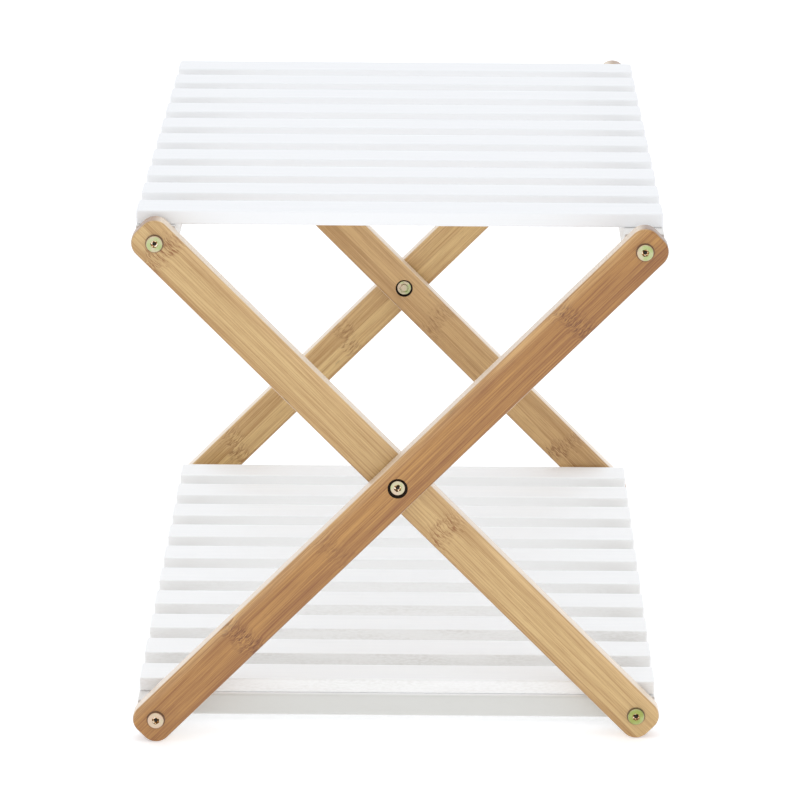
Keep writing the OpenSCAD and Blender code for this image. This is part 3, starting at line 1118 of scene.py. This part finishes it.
RAILS = ("seat_rail_right", "seat_rail_left", "shelf_rail_left", "shelf_rail_right")
for node_name in RAILS:
    node_low, node_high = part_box(node_name)
    rail = painted_bar(node_name + "_batten", node_low, node_high, RAIL_EDGE, rail_paint)
    deselect()
    bpy.ops.mesh.primitive_cylinder_add(
        vertices=32,
        radius=SCREW_COUNTERBORE / 2,
        depth=2 * SCREW_DEPTH,
        location=((node_low.x + node_high.x) / 2, first_y, node_low.z),
    )
    pegs = bpy.context.object
    pegs.data.materials.append(rail_paint)
    settle()
    bpy.ops.object.modifier_add(type="ARRAY")
    row = pegs.modifiers[-1]
    row.count = slats_per_deck
    row.use_relative_offset = False
    row.use_constant_offset = True
    row.constant_offset_displace = (0, slat_pitch, 0)
    bpy.ops.object.modifier_apply(modifier=row.name)
    cut(rail, pegs)
    discard(pegs)
    even_shading(rail)
    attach(rail, "root")
    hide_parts(node_name)

for node_name in ("stretcher_front", "stretcher_rear"):
    node_low, node_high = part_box(node_name)
    stretcher = painted_bar(
        node_name + "_bar", node_low, node_high, STRETCHER_EDGE, stretcher_paint
    )
    even_shading(stretcher)
    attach(stretcher, "root")
    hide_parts(node_name)
print("rails:", len(RAILS), "slat pitch", round(slat_pitch / MM, 1), "mm")

# %% [markdown]
# ## Bolts
#
# The corner bolts are furniture bolts: a flat round head with a hexagon socket on a 6 mm
# shank. The head is a short cylinder whose front rim is rounded. The shank is made from the
# head's back face: an inset brings it in to the shank's radius and an extrude pulls it out.
# The socket is cut with a six-sided cylinder that has a drill point behind it, because the
# socket is broached into a drilled hole.

# %% Bolts
SHANK = 6 * MM
CORNER_SHANK_LENGTH = 32 * MM
SHANK_CHAMFER = 0.6 * MM
HEAD_RIM = 0.8 * MM
SOCKET = 5 * MM
SOCKET_RIM = 0.25 * MM
SOCKET_DEPTH = 2.2 * MM
DRILL_POINT = 1.4 * MM
DRILL_SHARE = 0.32
BOLT_TURN = 0.35


def select_faces(piece, wanted):
    """Enters edit mode with the wanted faces selected."""
    make_active(piece)
    bpy.ops.object.mode_set(mode="EDIT")
    bpy.ops.mesh.select_mode(type="FACE")
    bpy.ops.mesh.select_all(action="DESELECT")
    bpy.ops.object.mode_set(mode="OBJECT")
    for face in piece.data.polygons:
        face.select = wanted(face)
    bpy.ops.object.mode_set(mode="EDIT")


def hexagon(across_flats, start, end):
    """A six-sided cutter along Y with a flat at the top."""
    return rod("hexagon", across_flats / math.cos(math.pi / 6), start, end, 6)


def turned_head(name, diameter, height, rim):
    """A short cylinder from Y = 0 out to Y = -height, with its front rim rounded."""
    head = rod(name, diameter, -height, 0, 64)
    head.data.materials.append(yellow_zinc)
    round_edges(head, lambda a, b: same(a.y, -height) and same(b.y, -height), rim, 4)
    return head


def pull_shank(piece, inset, length):
    """Insets the face on Y = 0 and extrudes it along +Y."""
    select_faces(piece, lambda face: face.normal.y > 0.99 and same(face.center.y, 0))
    bpy.ops.mesh.inset(thickness=inset)
    bpy.ops.mesh.extrude_region_move(TRANSFORM_OT_translate={"value": (0, length, 0)})
    bpy.ops.object.mode_set(mode="OBJECT")


def socket_bolt(name, head_diameter, head_height, socket, length):
    """A bolt with the underside of its head on Y = 0 and its head towards -Y."""
    bolt = turned_head(name, head_diameter, head_height, HEAD_RIM)
    pull_shank(bolt, (head_diameter - SHANK) / 2, length)
    round_edges(
        bolt,
        lambda a, b: same(a.y, length) and same(b.y, length),
        SHANK_CHAMFER,
        2,
    )
    key = hexagon(socket, -head_height - PAST, -head_height + SOCKET_DEPTH)
    # The socket walls carry painted glints and painted shade
    key.data.materials.append(socket_glint_shade)
    cut(bolt, key)
    discard(key)
    deselect()
    bpy.ops.mesh.primitive_cone_add(
        vertices=24,
        radius1=DRILL_SHARE * socket,
        depth=DRILL_POINT,
        location=(0, -head_height + SOCKET_DEPTH + DRILL_POINT / 2 - 0.01 * MM, 0),
        rotation=(-math.pi / 2, 0, 0),
    )
    point = bpy.context.object
    # The drill point is painted near-black as painted shade
    point.data.materials.append(drill_point_shade)
    settle()
    cut(bolt, point)
    discard(point)
    round_edges(
        bolt,
        lambda a, b: same(a.y, -head_height)
        and same(b.y, -head_height)
        and a.xz.length < 0.6 * socket
        and b.xz.length < 0.6 * socket,
        SOCKET_RIM,
        2,
    )
    return bolt


def join(name, parts):
    """Several meshes made into one piece."""
    deselect()
    for part in parts:
        part.select_set(True)
    bpy.context.view_layer.objects.active = parts[0]
    bpy.ops.object.join()
    parts[0].name = name
    return parts[0]


# Film on the corner bolts, two on each leg: at its lower left or upper left end first
FILMS = (-0.15, 0.15, 0.13, 0.45, 0.2, 0.0, 0.3, 0.1)
PIVOT_FILM = 0.05
# Round the rim the film is lowered by this much, a painted highlight that makes the rim paler
RIM_HIGHLIGHT = 0.3
RIM_START = 0.93


def passivate(piece, film):
    """Stores the zinc's film, which sets its colour. Round the head's rim it is lowered, which
    paints the rim paler as a painted highlight.
    """
    places = [vertex.co.xz for vertex in piece.data.vertices]
    middle = sum(places, Vector((0, 0))) / len(places)
    reach = max((spot - middle).length for spot in places)
    layer = piece.data.attributes.new("film", "FLOAT", "POINT")
    for vertex, value in zip(piece.data.vertices, layer.data):
        on_rim = (vertex.co.xz - middle).length > RIM_START * reach
        value.value = film - RIM_HIGHLIGHT if on_rim else film
    return piece


head_height = front_low.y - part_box("corner_bolts")[0].y
corner_template = socket_bolt(
    "corner_template", BOLT_HEAD * MM, head_height, SOCKET, CORNER_SHANK_LENGTH
)

corner_parts = []
for leg_name, (side, *_) in LEGS.items():
    leg_low, leg_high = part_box(leg_name)
    at_front = leg_name.endswith("front")
    face_y = leg_low.y if at_front else leg_high.y
    for end in (-1, 1):
        x = crossing.x + end * (top_bolt.x - crossing.x)
        z = crossing.z - end * side * (top_bolt.z - crossing.z)
        bolt = copy_of(
            corner_template,
            "corner_bolt",
            Vector((x, face_y, z)),
            (0, BOLT_TURN * len(corner_parts), 0 if at_front else math.pi),
        )
        corner_parts.append(passivate(bolt, FILMS[len(corner_parts)]))
discard(corner_template)
corner_bolts = join("corner_bolt_set", corner_parts)
even_shading(corner_bolts)
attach(corner_bolts, "root")
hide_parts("corner_bolts")
print("corner bolts:", len(corner_parts), "heads stand out", round(head_height / MM, 1), "mm")

# %% [markdown]
# ## Pivot bolts and sleeve nuts
#
# Where two legs cross, a bolt with a slightly smaller head lies in the outer leg's
# counterbore. It screws into a sleeve nut from the inner side: a round head with a wide
# hexagon recess, on a barrel that sits in the inner leg. The bolt's end shows in the recess.

# %% Pivot bolts and sleeve nuts
PIVOT_HEAD = 11.6 * MM
NUT_HEAD = 12.6 * MM
NUT_HEAD_HEIGHT = 3 * MM
NUT_HEAD_RIM = 0.5 * MM
NUT_BARREL = 9 * MM
NUT_SOCKET = 8 * MM
NUT_SOCKET_DEPTH = 2 * MM
PIVOT_TURN = 0.2
NUT_TURN = 0.5


def front_one_ends(node_name):
    """The highest Y of the solid that a node has at the front of the bench."""
    ys = [vertex.co.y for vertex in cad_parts[node_name].data.vertices if vertex.co.y < 0]
    return max(ys)


pivot_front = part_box("pivot_bolts")[0].y
pivot_back = front_one_ends("pivot_bolts")
nut_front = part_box("pivot_nuts")[0].y
nut_back = front_one_ends("pivot_nuts")
pivot_template = socket_bolt(
    "pivot_template", PIVOT_HEAD, head_height, SOCKET, pivot_back - pivot_front - head_height
)

nut_template = turned_head("nut_template", NUT_HEAD, NUT_HEAD_HEIGHT, NUT_HEAD_RIM)
pull_shank(nut_template, (NUT_HEAD - NUT_BARREL) / 2, nut_back - nut_front - NUT_HEAD_HEIGHT)
recess = hexagon(NUT_SOCKET, -NUT_HEAD_HEIGHT - PAST, -NUT_HEAD_HEIGHT + NUT_SOCKET_DEPTH)
cut(nut_template, recess)
thread = rod("thread", SHANK + 0.1 * MM, -NUT_HEAD_HEIGHT, nut_back - nut_front, 48)
cut(nut_template, thread)
discard(recess, thread)

pivot_parts = []
nut_parts = []
for turn, sign in ((0, 1), (math.pi, -1)):
    pivot_parts.append(
        copy_of(
            pivot_template,
            "pivot_bolt",
            Vector((crossing.x, sign * (pivot_front + head_height), crossing.z)),
            (0, PIVOT_TURN, turn),
        )
    )
    nut_parts.append(
        copy_of(
            nut_template,
            "pivot_nut",
            Vector((crossing.x, sign * (nut_back - NUT_HEAD_HEIGHT), crossing.z)),
            (0, NUT_TURN, turn + math.pi),
        )
    )
discard(pivot_template, nut_template)
for node_name, parts in (("pivot_bolts", pivot_parts), ("pivot_nuts", nut_parts)):
    for part in parts:
        passivate(part, PIVOT_FILM)
    hardware = join(node_name[:-1] + "_set", parts)
    even_shading(hardware)
    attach(hardware, "root")
    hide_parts(node_name)
print("pivot bolts and nuts:", len(pivot_parts), "and", len(nut_parts))
